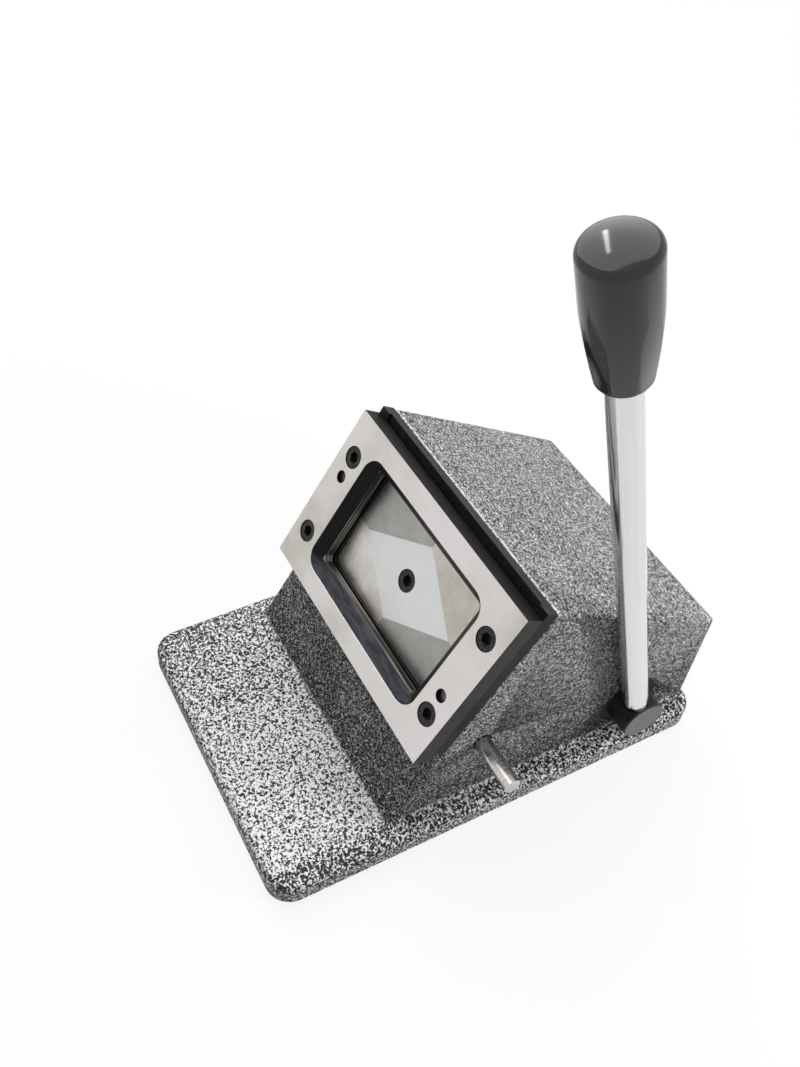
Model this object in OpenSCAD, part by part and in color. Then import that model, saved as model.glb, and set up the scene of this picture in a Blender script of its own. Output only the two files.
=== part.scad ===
// Card cutter with a hand lever.
// X runs across the machine (lever on +X), Y runs back, Z up; the origin lies under the middle of the base.
// The front of the body is a slope.  Slope frame: x across, y up the slope, z out of it,
// with its origin on the casting's front face, behind the middle of the card opening.

/* [Base] */
// Width of the base flange
base_w = 154; // [148:1:180]
// Length of the base flange, front to back
base_len = 230; // [205:1:260]
// Thickness of the base flange
base_t = 11.5; // [9:0.5:16]
// Corner radius of the base, seen from above
base_corner_r = 12; // [8:1:20]
// Rounding along the top edge of the base
base_edge_r = 3.5; // [1.5:0.5:4]
// Thickness of the rubber sheet under the base
mat_t = 1.5; // [1:0.5:4]
// How far the rubber sheet lies back from the edge of the base
mat_inset = 4; // [2:0.5:6]

/* [Body] */
// Width of the hollow body
body_w = 133.5; // [130:0.5:140]
// Angle of the front slope to the base
slope_angle = 60; // [58:1:62]
// Length of the body along the base, from the foot of the slope to its back
body_len = 168; // [156:1:184]
// Length of the front slope
slope_len = 135; // [132:0.5:142]
// Distance from the back of the body to the back edge of the base
rear_inset = 3.5; // [3:0.5:6]
// Thickness of the side, roof and rear walls
wall = 8; // [7:0.5:9]
// Thickness of the front wall that carries the plates
front_wall = 14; // [13:0.5:16]
// How far the opening in the front wall lies outside the card's outline
front_open_rim = 5; // [4:0.5:6]
// Length of the shaft bosses inside the side walls
shaft_boss_len = 8; // [6:0.5:9]
// Wall left round a bush in its boss
boss_wall = 7; // [5:0.5:9]
// Thickness of the inner bridge that guides the plunger
bridge_t = 18; // [14:0.5:20]
// How far the bridge reaches below the plunger's axis
bridge_drop = 34; // [32:1:40]

/* [Bottom cover] */
// Thickness of the bottom cover
cover_t = 2; // [1.5:0.25:2.5]
// Width of the seat round the cover
cover_rim = 8; // [7:0.5:10]
// Diameter of the cover screws
cover_screw_d = 4; // [3:0.5:4]
// Length of the cover screws
cover_screw_len = 8; // [6:0.5:9]

/* [Card] */
// Width of a card
card_w = 85.6; // [80:0.1:90]
// Height of a card
card_h = 54; // [50:0.1:56]
// Corner radius of a card
card_corner_r = 3.2; // [2.5:0.1:4]
// Gap between punch and die, on each side
die_gap = 0.05; // [0.03:0.01:0.08]

/* [Plates] */
// Width of the die plate and the guide plate
plate_w = 133.5; // [130:0.5:135]
// Height of the die plate
die_h = 85.5; // [82:0.5:86]
// Thickness of the die plate
die_t = 9; // [8:0.5:11]
// Distance up the slope to the middle of the card opening
plate_up = 88.5; // [87:0.5:90]
// Depth of the bevel round the card opening
bevel_depth = 5.6; // [5:0.1:6.5]
// Width of the bevel round the card opening
bevel_run = 5.4; // [4:0.1:5.5]
// Height of the guide plate, down from the roof
guide_h = 84; // [80:1:86]
// Thickness of the guide plate
guide_t = 6.5; // [5.5:0.5:8]
// Depth of the slot that the sheet drops into
slot_depth = 1.5; // [1:0.1:2]
// Width of the slot
slot_w = 104; // [98:1:106]
// Height from the slot's lower end to the middle of the opening
slot_below = 30; // [29:0.5:33]
// Width of the slot's mouth
mouth_w = 122; // [114:1:124]
// Depth of the mouth, down from the top edge
mouth_h = 5; // [4.5:0.5:7]
// Corner radius of the mouth
mouth_r = 4.5; // [3:0.5:4.5]

/* [Plate screws] */
// Diameter of the plate screws and the punch screw
screw_d = 6; // [5:0.5:6]
// Diameter of their heads
head_d = 10; // [9:0.5:11]
// Height of their heads
head_h = 6; // [5:0.25:6.5]
// Width across the flats of the socket
socket_af = 5; // [4:0.5:5.5]
// Depth of the socket
socket_depth = 3; // [2:0.5:4]
// Gap round a head in its counterbore
head_gap = 0.35; // [0.2:0.05:0.6]
// How far a head lies below the surface
head_sink = 0.4; // [0.2:0.1:1]
// Length of the plate screws under the head
screw_len = 20; // [16:1:21]
// Distance of the plate screws from the middle, across
screw_x = 57; // [55.5:0.5:58]
// Distance of the plate screws from the middle, up and down
screw_y = 22.6; // [21:0.1:25]
// Diameter of the locating dowels
dowel_d = 6; // [4:0.5:6]
// Distance of the dowels from the middle, up and down
dowel_y = 11.1; // [8:0.1:12]
// How far the dowels lie below the face of the die plate
dowel_sink = 2; // [1:0.5:3]
// How deep the dowels stand in the casting
dowel_in = 8; // [6:0.5:10]

/* [Punch] */
// Thickness of the punch
punch_t = 12.2; // [11:0.1:14]
// How far the resting punch lies behind the slot's floor
punch_back = 0.8; // [0.5:0.1:1.2]
// Width of the diamond on the punch face
diamond_w = 71; // [60:1:78]
// Height of the diamond on the punch face
diamond_h = 43; // [36:1:48]
// How far the diamond lies off the middle, across
diamond_x = 1; // [-2:0.5:2]
// How far the diamond lies off the middle, up the slope
diamond_y = -0.5; // [-2:0.5:2]
// Fall of the four ground facets, in degrees
facet_fall = 3.7; // [2:0.1:4.5]
// Diameter of the dowels between punch and pressure plate
punch_dowel_d = 4; // [3:0.5:5]
// Distance of those dowels from the middle
punch_dowel_x = 24; // [20:1:30]
// Length of the punch screw under the head
punch_screw_len = 30; // [26:1:34]
// How far the pressure plate is smaller than the punch, on each side
pressure_inset = 3.5; // [2:0.5:6]
// Thickness of the pressure plate
pressure_t = 12; // [10:0.5:12.5]

/* [Plunger] */
// Diameter of the plunger
plunger_d = 30; // [26:1:32]
// Diameter of the plunger's foot
foot_d = 46; // [42:1:48]
// Thickness of the plunger's foot
foot_t = 8; // [6:0.5:9]
// Wall of the plunger's bush
bush_wall = 4; // [3:0.5:5]
// How far the bush stands out of the bridge at each end
bush_out = 1.5; // [1:0.5:2]
// Wire diameter of the return spring
wire_d = 2.6; // [2:0.1:3]
// Number of turns of the return spring
spring_turns = 5; // [4:0.5:5.5]
// Length of the return spring while the lever rests
spring_len = 21; // [19:0.5:24]

/* [Shaft and cam] */
// Diameter of the lever shaft
shaft_d = 22; // [20:0.5:24]
// Distance of the shaft's axis in front of the back of the body
shaft_front = 38; // [37:0.5:40]
// Height of the shaft's axis above the base flange
shaft_up = 17.4; // [16:0.2:19]
// How far the shaft reaches past the lever's middle
shaft_over = 6.5; // [6.5:0.5:9]
// Wall of the shaft bushes
shaft_bush_wall = 3; // [2:0.5:4]
// Wall left outside the shaft's hidden left end
blind_wall = 2.5; // [2:0.25:3.5]
// Thickness of the ring that seals the shaft
seal_t = 2; // [1.5:0.25:2.5]
// Radial width of that ring
seal_wall = 4; // [3:0.5:5]
// Travel of the plunger for one radian of the lever
cam_rate = 6; // [5.5:0.1:6.3]
// Distance from the shaft's axis to the cam's top at rest
cam_rest = 16; // [15.7:0.1:17]
// Width of the cam
cam_w = 24; // [18:1:26]
// Radius of the cam's hub
cam_hub_r = 15; // [14.5:0.1:15.5]
// Length of the hub beside the cam
cam_hub_len = 12; // [10:0.5:14]
// Width of the cam's key
key_w = 6; // [5:0.5:7]
// Height of the key above the shaft
key_out = 2.5; // [2:0.25:3]
// Depth of the key in the shaft
key_in = 3; // [2.5:0.25:3.5]
// Outer diameter of the shaft collar
collar_d = 36; // [32:1:38]
// Length of the shaft collar
collar_len = 12; // [9:0.5:14]
// Diameter of the grub screws
grub_d = 5; // [4:0.5:6]

/* [Lever] */
// Lean of the resting lever towards the front, in degrees
lever_lean = 18; // [15:0.5:20]
// Travel of the lever, in degrees
lever_travel = 50.5; // [44:0.5:52]
// Diameter of the lever rod
rod_d = 12; // [11:0.5:13]
// Gap between the lever rod and the side of the body
rod_gap = 0.8; // [0.6:0.1:2]
// Diameter of the threaded ends of the rod
stub_d = 10; // [8:0.5:10]
// Depth of the thread in the shaft
stub_in = 18; // [15:0.5:19]
// Gap under the rod's lower shoulder
shoulder_gap = 0.3; // [0.2:0.05:0.5]
// Distance from the shaft's axis to the lower end of the grip
grip_start = 238; // [200:1:260]
// Length of the grip
grip_len = 53; // [50:1:70]
// Radius of the grip's lower end
grip_low_r = 9; // [9:0.1:10]
// Radius of the grip's upper barrel
grip_r = 12.1; // [11.5:0.1:14]
// Length of the grip's tapered part
grip_taper = 26; // [20:1:30]
// Rounding of the grip's edges
grip_edge_r = 1.2; // [0.8:0.1:1.5]
// Depth of the rod in the grip before the insert starts
grip_socket = 4; // [3:0.5:6]
// Length of the metal insert in the grip
insert_len = 20; // [16:1:24]
// Wall of the metal insert
insert_wall = 2; // [1.5:0.25:2.25]

/* [Stop pin] */
// Diameter of the stop pin
stop_d = 8; // [7:0.5:10]
// Distance of the stop pin behind the front face of the casting
stop_edge = 19; // [17:0.5:22]
// How far the stop pin stands out of the body
stop_out = 25; // [22:1:30]
// Gap between rod and stop pin at the end of the travel
stop_gap = 0.4; // [0.3:0.1:1]
// Diameter of the recess round the stop pin
stop_recess_d = 10; // [9:0.5:12]
// Depth of that recess
stop_recess = 2; // [1:0.5:3]

/* [Fits] */
// Radial clearance of a turning or sliding fit
run_fit = 0.04; // [0.02:0.01:0.08]
// Radial clearance of a pressed or threaded fit
seat_fit = 0.02; // [0.01:0.01:0.04]
// Clearance between parts that face each other
face_gap = 0.3; // [0.2:0.05:0.4]
// Radial clearance of a screw in a plain hole
screw_gap = 0.2; // [0.1:0.05:0.3]
// Chamfer on turned steel parts
chamfer = 0.8; // [0.4:0.1:1]

/* [Hidden] */
$fn = 64;
hole_over = 1;                                  // how far a cutter runs past a face
far = 400;                                      // larger than the machine

// Body, in the X, Y, Z frame
casting_z = mat_t;
base_top = casting_z + base_t;
rear_y = base_len / 2 - rear_inset;
foot_y = rear_y - body_len;
apex_y = foot_y + slope_len * cos(slope_angle);
apex_z = base_top + slope_len * sin(slope_angle);
roof_run = (rear_y - apex_y) / sin(slope_angle);
rear_z = apex_z - roof_run * cos(slope_angle);
inner_foot_y = foot_y + front_wall / sin(slope_angle);
inner_rear_y = rear_y - wall;
inner_half_w = body_w / 2 - wall;
boss_x = inner_half_w - shaft_boss_len;         // inner face of the shaft bosses
inner_top = slope_len - plate_up - wall;        // underside of the roof, in the slope frame

// Shaft, in the X, Y, Z frame
shaft_y = rear_y - shaft_front;
shaft_z = base_top + shaft_up;
// Distance of the shaft behind the front face of the casting
shaft_back = (shaft_y - foot_y) * sin(slope_angle) - shaft_up * cos(slope_angle);
lever_x = body_w / 2 + rod_gap + rod_d / 2;
shaft_end = lever_x + shaft_over;
shaft_start = -body_w / 2 + blind_wall + face_gap;
shaft_bush_d = shaft_d + 2 * shaft_bush_wall;
bush_end = body_w / 2 - seal_t - face_gap;      // outer end of the right bush
lever_limit = lever_lean + lever_travel;
stop_side = rod_d / 2 + stop_d / 2 + stop_gap;  // from the rod's axis to the stop pin's, at the limit
stop_along = (shaft_back - stop_edge + stop_side * sin(lever_limit - slope_angle))
             / cos(lever_limit - slope_angle);

// Plates, in the slope frame
die_face = guide_t + die_t;
slot_floor = guide_t - slot_depth;
guide_top = slope_len - plate_up;
window_w = card_w + 2 * die_gap;                // card window in the guide plate
window_h = card_h + 2 * die_gap;
punch_w = card_w - 2 * die_gap;
punch_h = card_h - 2 * die_gap;
punch_face = slot_floor - punch_back;
punch_rear = punch_face - punch_t;
pressure_rear = punch_rear - pressure_t;
front_open_w = card_w + 2 * front_open_rim;
front_open_h = card_h + 2 * front_open_rim;
counterbore_d = head_d + 2 * head_gap;
counterbore_h = head_h + head_sink;
punch_seat = punch_face - counterbore_h;        // under the head of the punch screw

// Cam and plunger: an involute of a circle with radius cam_rate lifts a flat foot evenly
cam_start = sqrt(pow(cam_hub_r / cam_rate, 2) - 1);     // roll angles, in radians
cam_at_rest = cam_rest / cam_rate;
cam_end = cam_at_rest + lever_travel * PI / 180 + 0.12;
cam_steps = 28;
foot_z = -shaft_back + cam_rest + face_gap;     // end of the plunger, in the slope frame
plunger_bush_d = plunger_d + 2 * bush_wall;
bush_rear = foot_z + foot_t + spring_len + 2 * face_gap;
bridge_back = -bush_rear - bush_out - bridge_t;
bush_front = -bridge_back + bush_out;
key_angle = 45;
collar_x = boss_x - face_gap - collar_len;

// Cover
cover_half_w = inner_half_w + cover_rim;
cover_front = inner_foot_y - cover_rim;
cover_rear = inner_rear_y + cover_rim;
cover_gap = 0.2;
cover_screw_x = inner_half_w + cover_rim / 2;
cover_screw_ys = [cover_front + cover_rim / 2, (cover_front + cover_rear) / 2, cover_rear - cover_rim / 2];

// ---------- frames ----------
module on_slope() {
    translate([0, foot_y, base_top]) rotate([slope_angle, 0, 0]) translate([0, plate_up, 0]) children();
}
module at_shaft() {
    translate([0, shaft_y, shaft_z]) children();
}
// The lever's own frame: z runs up the rod from the shaft's axis
module on_lever() {
    at_shaft() translate([lever_x, 0, 0]) rotate([lever_lean, 0, 0]) children();
}
// A side view (Y, Z) drawn as a polygon, extruded along X between two places
module across(x0, x1) {
    translate([x0, 0, 0]) rotate([90, 0, 90]) linear_extrude(x1 - x0) children();
}
module along_x(x0, x1, d) {
    translate([x0, 0, 0]) rotate([0, 90, 0]) cylinder(d = d, h = x1 - x0);
}

// ---------- shapes ----------
module rounded_outline(w, h, r) {
    square([w - 2 * r, h], center = true);
    square([w, h - 2 * r], center = true);
    for (sx = [-1, 1], sy = [-1, 1]) translate([sx * (w / 2 - r), sy * (h / 2 - r)]) circle(r);
}
// A slab with round corners and a round top edge
module soft_slab(w, l, t, r, e) {
    linear_extrude(t - e) rounded_outline(w, l, r);
    translate([0, 0, t - e]) {
        for (sx = [-1, 1], sy = [-1, 1]) translate([sx * (w / 2 - r), sy * (l / 2 - r), 0]) rotate_extrude() {
            square([r - e, e]);
            translate([r - e, 0]) intersection() {
                circle(e);
                square(e);
            }
        }
        for (sy = [-1, 1]) translate([-w / 2 + r, sy * (l / 2 - e), 0]) rotate([0, 90, 0])
            cylinder(r = e, h = w - 2 * r);
        for (sx = [-1, 1]) translate([sx * (w / 2 - e), -l / 2 + r, 0]) rotate([-90, 0, 0])
            cylinder(r = e, h = l - 2 * r);
        translate([-w / 2 + r, -l / 2 + e, 0]) cube([w - 2 * r, l - 2 * e, e]);
        translate([-w / 2 + e, -l / 2 + r, 0]) cube([w - 2 * e, l - 2 * r, e]);
    }
}
// The bevelled part of the card opening: small at z = 0, wide at z = depth
module bevel_cutter(w, h, r, run, depth) {
    straight_w = w - 2 * r;
    straight_h = h - 2 * r;
    rotate([90, 0, 0]) translate([0, 0, -straight_h / 2]) linear_extrude(straight_h)
        polygon([[-w / 2, 0], [w / 2, 0], [w / 2 + run, depth], [-w / 2 - run, depth]]);
    rotate([90, 0, 90]) translate([0, 0, -straight_w / 2]) linear_extrude(straight_w)
        polygon([[-h / 2, 0], [h / 2, 0], [h / 2 + run, depth], [-h / 2 - run, depth]]);
    for (sx = [-1, 1], sy = [-1, 1]) translate([sx * straight_w / 2, sy * straight_h / 2, 0])
        cylinder(r1 = r, r2 = r + run, h = depth);
}
// A turned bar from z = 0 to h, chamfered at its upper end
module turned_bar(d, h) {
    cylinder(d = d, h = h - chamfer);
    translate([0, 0, h - chamfer]) cylinder(d1 = d, d2 = d - 2 * chamfer, h = chamfer);
}
// A socket-head screw: z = 0 is under the head
module socket_screw(length) {
    difference() {
        cylinder(d = head_d, h = head_h);
        translate([0, 0, head_h - socket_depth])
            cylinder(d = socket_af / cos(30), h = socket_depth + hole_over, $fn = 6);
    }
    translate([0, 0, -length]) cylinder(d = screw_d, h = length);
}
// A headless screw from z = 0 to h
module grub_screw(h) {
    difference() {
        cylinder(d = grub_d, h = h);
        translate([0, 0, h / 2]) cylinder(d = grub_d / 2 / cos(30), h = h, $fn = 6);
    }
}
// A coil spring of round wire from z0 to z1
module coil(r, wire, z0, z1, turns) {
    steps = 24;
    sides = 8;
    rings = turns * steps;
    rise = (z1 - z0 - wire) / rings;
    points = [for (i = [0:rings], j = [0:sides - 1])
        let (a = 360 * i / steps, b = 360 * j / sides, radius = r + wire / 2 * cos(b))
        [radius * cos(a), radius * sin(a), z0 + wire / 2 + i * rise + wire / 2 * sin(b)]];
    walls = [for (i = [0:rings - 1], j = [0:sides - 1])
        let (p = i * sides + j, q = i * sides + (j + 1) % sides)
        each [[p, p + sides, q], [q, p + sides, q + sides]]];
    ends = [for (j = [1:sides - 2]) each [[0, j, j + 1],
        [rings * sides, rings * sides + j + 1, rings * sides + j]]];
    polyhedron(points, concat(walls, ends));
}

// ---------- body ----------
module body_outline() {
    polygon([[foot_y, base_top - hole_over], [foot_y, base_top], [apex_y, apex_z], [rear_y, rear_z],
             [rear_y, base_top - hole_over]]);
}
module cavity_outline() {
    inner_apex_y = foot_y + (slope_len - wall) * cos(slope_angle) + front_wall * sin(slope_angle);
    inner_apex_z = base_top + (slope_len - wall) * sin(slope_angle) - front_wall * cos(slope_angle);
    inner_rear_z = inner_apex_z - (inner_rear_y - inner_apex_y) / tan(slope_angle);
    polygon([[inner_foot_y, casting_z - hole_over], [inner_foot_y, base_top], [inner_apex_y, inner_apex_z],
             [inner_rear_y, inner_rear_z], [inner_rear_y, casting_z - hole_over]]);
}
module bridge() {
    translate([-inner_half_w - hole_over, -bridge_drop, -bridge_back - bridge_t])
        cube([2 * (inner_half_w + hole_over), bridge_drop + inner_top + hole_over, bridge_t]);
}
module body_casting() color([0.36, 0.36, 0.37]) {
    difference() {
        union() {
            translate([0, 0, casting_z]) soft_slab(base_w, base_len, base_t, base_corner_r, base_edge_r);
            across(-body_w / 2, body_w / 2) body_outline();
        }
        difference() {
            across(-inner_half_w, inner_half_w) cavity_outline();
            on_slope() bridge();
            at_shaft() {
                along_x(boss_x, inner_half_w + hole_over, shaft_bush_d + 2 * boss_wall);
                along_x(-inner_half_w - hole_over, -boss_x, shaft_bush_d + 2 * boss_wall);
            }
        }
        casting_cuts();
    }
}
module casting_cuts() {
    on_slope() {
        translate([0, 0, -front_wall - hole_over]) linear_extrude(front_wall + 2 * hole_over)
            square([front_open_w, front_open_h], center = true);
        plate_screw_places() translate([0, 0, guide_t + die_t - counterbore_h - screw_len - hole_over])
            cylinder(r = screw_d / 2 + seat_fit, h = screw_len);
        dowel_places() translate([0, 0, -dowel_in - seat_fit])
            cylinder(r = dowel_d / 2 + seat_fit, h = dowel_in + hole_over);
        translate([0, 0, -bridge_back - bridge_t - hole_over])
            cylinder(r = plunger_bush_d / 2 + seat_fit, h = bridge_t + 2 * hole_over);
    }
    at_shaft() {
        along_x(0, body_w, shaft_bush_d + 2 * seat_fit);
        along_x(body_w / 2 - seal_t - face_gap, body_w, shaft_d + 2 * (seal_wall + seat_fit));
        along_x(-body_w / 2 + blind_wall, 0, shaft_bush_d + 2 * seat_fit);
    }
    stop_place() {
        along_x(0, body_w, stop_d + 2 * seat_fit);
        along_x(body_w / 2 - stop_recess, body_w, stop_recess_d);
    }
    translate([-cover_half_w, cover_front, casting_z - hole_over])
        cube([2 * cover_half_w, cover_rear - cover_front, cover_t + hole_over]);
    cover_screw_places() cylinder(r = cover_screw_d / 2 + seat_fit, h = cover_t + cover_screw_len);
}

module cover_screw_places() {
    for (sx = [-1, 1], y = cover_screw_ys) translate([sx * cover_screw_x, y, casting_z]) children();
}
module bottom_cover() color([0.3, 0.3, 0.31]) difference() {
    translate([-cover_half_w + cover_gap, cover_front + cover_gap, casting_z])
        cube([2 * (cover_half_w - cover_gap), cover_rear - cover_front - 2 * cover_gap, cover_t]);
    cover_screw_places() {
        cylinder(r = cover_screw_d / 2 + screw_gap, h = cover_t + hole_over);
        cylinder(d1 = 2 * cover_screw_d + 2 * screw_gap, d2 = cover_screw_d + 2 * screw_gap, h = cover_t);
    }
}
module cover_screws() color([0.75, 0.75, 0.76]) cover_screw_places() {
    cylinder(d1 = 2 * cover_screw_d, d2 = cover_screw_d, h = cover_t);
    cylinder(d = cover_screw_d, h = cover_t + cover_screw_len - face_gap);
}
module base_mat() color([0.06, 0.06, 0.06])
    linear_extrude(mat_t)
        rounded_outline(base_w - 2 * mat_inset, base_len - 2 * mat_inset, base_corner_r - mat_inset);

// ---------- plates ----------
module plate_screw_places() {
    for (sx = [-1, 1], sy = [-1, 1]) translate([sx * screw_x, sy * screw_y, 0]) children();
}
module dowel_places() {
    for (s = [-1, 1]) translate([-s * screw_x, s * dowel_y, 0]) children();
}
module plate_holes() {
    plate_screw_places() translate([0, 0, -hole_over]) cylinder(r = screw_d / 2 + screw_gap, h = die_face * 2);
    dowel_places() translate([0, 0, -hole_over]) cylinder(r = dowel_d / 2 + seat_fit, h = die_face * 2);
}
module guide_plate() color([0.1, 0.1, 0.11]) on_slope() difference() {
    translate([-plate_w / 2, guide_top - guide_h, 0]) cube([plate_w, guide_h, guide_t]);
    plate_holes();
    translate([0, 0, -hole_over]) linear_extrude(guide_t + 2 * hole_over)
        rounded_outline(window_w, window_h, card_corner_r + die_gap);
    translate([0, 0, slot_floor]) linear_extrude(slot_depth + hole_over) {
        slot_h = slot_below + guide_top + mouth_h;
        translate([0, slot_h / 2 - slot_below]) rounded_outline(slot_w, slot_h, mouth_r);
        translate([0, guide_top]) rounded_outline(mouth_w, 2 * mouth_h, mouth_r);
    }
}
module die_plate() color([0.8, 0.79, 0.77]) on_slope() difference() {
    translate([-plate_w / 2, -die_h / 2, guide_t]) cube([plate_w, die_h, die_t]);
    plate_holes();
    plate_screw_places() translate([0, 0, die_face - counterbore_h])
        cylinder(d = counterbore_d, h = counterbore_h + hole_over);
    translate([0, 0, guide_t - hole_over]) linear_extrude(die_t + 2 * hole_over)
        rounded_outline(card_w, card_h, card_corner_r);
    translate([0, 0, die_face - bevel_depth])
        bevel_cutter(card_w, card_h, card_corner_r, bevel_run, bevel_depth);
    translate([0, 0, die_face]) linear_extrude(hole_over)
        rounded_outline(card_w + 2 * bevel_run, card_h + 2 * bevel_run, card_corner_r + bevel_run);
}
module die_screws() color([0.08, 0.08, 0.09]) on_slope()
    plate_screw_places() translate([0, 0, die_face - counterbore_h]) socket_screw(screw_len);
module locating_dowels() color([0.35, 0.34, 0.32]) on_slope() dowel_places()
    translate([0, 0, -dowel_in]) cylinder(d = dowel_d, h = dowel_in + die_face - dowel_sink);

// ---------- punch and plunger ----------
module punch_dowel_places() {
    for (s = [-1, 1]) translate([s * punch_dowel_x, 0, pressure_rear]) children();
}
module punch() color([0.78, 0.78, 0.76]) on_slope() difference() {
    translate([0, 0, punch_rear]) linear_extrude(punch_t)
        rounded_outline(punch_w, punch_h, card_corner_r - die_gap);
    facet_cuts();
    translate([0, 0, punch_seat]) cylinder(d = counterbore_d, h = counterbore_h + hole_over);
    translate([0, 0, punch_rear - hole_over]) cylinder(r = screw_d / 2 + screw_gap, h = punch_t);
    punch_dowel_places() cylinder(r = punch_dowel_d / 2 + seat_fit, h = pressure_t + punch_t / 2);
}
// Four planes that fall away from the edges of the diamond
module facet_cuts() {
    facet_turn = atan2(diamond_w, diamond_h);
    facet_reach = diamond_w / 2 * cos(facet_turn);
    for (turn = [facet_turn, 180 - facet_turn, 180 + facet_turn, -facet_turn])
        translate([diamond_x, diamond_y, punch_face]) rotate([0, 0, turn]) translate([facet_reach, 0, 0])
            rotate([0, facet_fall, 0]) translate([0, -punch_w, 0]) cube([punch_w, 2 * punch_w, punch_t]);
}
module punch_screw() color([0.08, 0.08, 0.09]) on_slope() translate([0, 0, punch_seat])
    socket_screw(punch_screw_len);
module punch_dowels() color([0.5, 0.5, 0.5]) on_slope() punch_dowel_places()
    cylinder(d = punch_dowel_d, h = pressure_t + punch_t / 2 - face_gap);
module pressure_plate() color([0.45, 0.45, 0.46]) on_slope() difference() {
    translate([0, 0, pressure_rear]) linear_extrude(pressure_t)
        square([punch_w - 2 * pressure_inset, punch_h - 2 * pressure_inset], center = true);
    translate([0, 0, pressure_rear - hole_over])
        cylinder(r = screw_d / 2 + screw_gap, h = pressure_t + 2 * hole_over);
    punch_dowel_places() translate([0, 0, -hole_over])
        cylinder(r = punch_dowel_d / 2 + seat_fit, h = pressure_t + 2 * hole_over);
}
module plunger() color([0.55, 0.55, 0.56]) on_slope() difference() {
    union() {
        translate([0, 0, foot_z]) cylinder(d = foot_d, h = foot_t);
        translate([0, 0, foot_z]) cylinder(d = plunger_d, h = pressure_rear - foot_z);
    }
    translate([0, 0, punch_seat - punch_screw_len - hole_over])
        cylinder(r = screw_d / 2 + seat_fit, h = punch_screw_len);
}
module plunger_bush() color([0.66, 0.5, 0.25]) on_slope() translate([0, 0, bush_rear]) difference() {
    cylinder(d = plunger_bush_d, h = bush_front - bush_rear);
    translate([0, 0, -hole_over])
        cylinder(r = plunger_d / 2 + run_fit, h = bush_front - bush_rear + 2 * hole_over);
}
module return_spring() color([0.6, 0.6, 0.62]) on_slope()
    coil(plunger_d / 2 + face_gap + wire_d, wire_d, foot_z + foot_t + face_gap, bush_rear - face_gap,
         spring_turns);

// ---------- shaft and cam ----------
// The slope frame's directions, with the shaft's axis at the origin
module on_cam() {
    at_shaft() rotate([slope_angle, 0, 0]) children();
}
module lever_shaft() color([0.42, 0.42, 0.42]) difference() {
    at_shaft() translate([shaft_start, 0, 0]) rotate([0, 90, 0]) turned_bar(shaft_d, shaft_end - shaft_start);
    on_lever() translate([0, 0, shaft_d / 2 - stub_in - face_gap])
        cylinder(r = stub_d / 2 + seat_fit, h = shaft_d);
    on_cam() rotate([key_angle, 0, 0]) key_block(seat_fit);
}
// Polar form of the involute: the cam touches the plunger's foot at roll angle t
function involute(t) =
    let (back = (cam_at_rest - t) * 180 / PI)
    [cam_rate * cos(back) - cam_rate * t * sin(back), cam_rate * sin(back) + cam_rate * t * cos(back)];
module cam_outline() {
    polygon(concat([[0, 0]], [for (i = [cam_steps:-1:0])
        involute(cam_start + (cam_end - cam_start) * i / cam_steps)]));
    circle(cam_hub_r);
}
module cam() color([0.5, 0.5, 0.5]) on_cam() difference() {
    union() {
        across(-cam_w / 2, cam_w / 2) cam_outline();
        along_x(cam_w / 2 - hole_over, cam_w / 2 + cam_hub_len, 2 * cam_hub_r);
    }
    along_x(-cam_w, cam_w + cam_hub_len, shaft_d + 2 * seat_fit);
    rotate([key_angle, 0, 0]) key_block(seat_fit);
    translate([cam_w / 2 + cam_hub_len / 2, 0, 0]) cylinder(r = grub_d / 2 + seat_fit, h = 2 * cam_hub_r);
}
// A key seen with its height along y
module key_block(fit) {
    translate([-cam_w / 2 - fit, shaft_d / 2 - key_in - fit, -key_w / 2 - fit])
        cube([cam_w + 2 * fit, key_in + key_out + 2 * fit, key_w + 2 * fit]);
}
module cam_key() color([0.62, 0.62, 0.6]) on_cam() rotate([key_angle, 0, 0]) key_block(0);
module shaft_collar() color([0.45, 0.45, 0.46]) on_cam() difference() {
    along_x(collar_x, collar_x + collar_len, collar_d);
    along_x(0, body_w, shaft_d + 2 * seat_fit);
    translate([collar_x + collar_len / 2, 0, 0]) cylinder(r = grub_d / 2 + seat_fit, h = collar_d);
}
module grub_screws() color([0.1, 0.1, 0.11]) on_cam() {
    translate([cam_w / 2 + cam_hub_len / 2, 0, shaft_d / 2 + seat_fit])
        grub_screw(cam_hub_r - shaft_d / 2 - face_gap);
    translate([collar_x + collar_len / 2, 0, shaft_d / 2 + seat_fit])
        grub_screw((collar_d - shaft_d) / 2 - face_gap);
}
module shaft_bush(x0, x1) {
    color([0.66, 0.5, 0.25]) at_shaft() difference() {
        along_x(x0, x1, shaft_bush_d);
        along_x(x0 - hole_over, x1 + hole_over, shaft_d + 2 * run_fit);
    }
}
module left_bush() shaft_bush(-body_w / 2 + blind_wall, -boss_x);
module right_bush() shaft_bush(boss_x, bush_end);
module shaft_seal() color([0.05, 0.05, 0.05]) at_shaft() difference() {
    along_x(body_w / 2 - seal_t - face_gap, body_w / 2 - face_gap, shaft_d + 2 * seal_wall);
    along_x(0, body_w, shaft_d + 2 * run_fit);
}

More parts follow.
